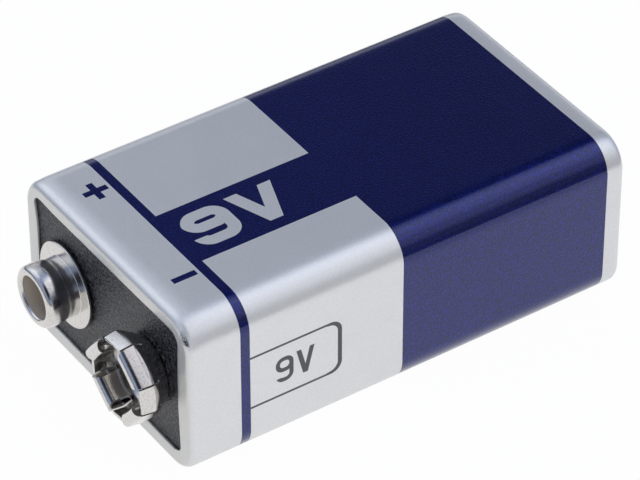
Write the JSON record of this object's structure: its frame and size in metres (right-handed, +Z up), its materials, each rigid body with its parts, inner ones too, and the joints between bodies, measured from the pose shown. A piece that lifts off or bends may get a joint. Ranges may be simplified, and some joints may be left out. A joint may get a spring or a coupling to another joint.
{
  "type": "nine volt battery",
  "caption": "Nine volt block battery with a printed steel jacket and two snap terminals on one end, lying on its broad back.",
  "frame": {"origin": "on the resting surface, under the middle of the whole battery", "axes": "+X across the width from the positive stud to the negative socket, +Y along the length from the terminals to the base, +Z up through the thickness"},
  "size_m": [0.0254, 0.0478, 0.016],
  "materials": {
    "printed_steel": "satin metallic ink over tinplate",
    "nickel_plate": "bright nickel plate",
    "rivet_metal": "dull nickel plate",
    "dark_fibre": "fine speckled charcoal",
    "strip_metal": "plain nickel strip",
    "card": "uncoated card",
    "film": "clear shrink film, milky",
    "cell_steel": "plain drawn steel"
  },
  "bodies": {
    "root": {"jacket": "printed_steel", "terminal_plate": "dark_fibre", "base_plate": "dark_fibre", "positive_stud": "nickel_plate", "negative_socket": "nickel_plate", "positive_rivet": "rivet_metal", "negative_rivet": "rivet_metal", "positive_lead": "strip_metal", "negative_lead": "strip_metal", "top_insulator": "card", "bottom_insulator": "card", "cell_wrap": "film", "cell_1": "cell_steel", "cell_2": "cell_steel", "cell_3": "cell_steel", "cell_4": "cell_steel", "cell_5": "cell_steel", "cell_6": "cell_steel", "top_link_1": "strip_metal", "top_link_2": "strip_metal", "bottom_link_1": "strip_metal", "bottom_link_2": "strip_metal", "bottom_link_3": "strip_metal"}
  },
  "joints": []
}
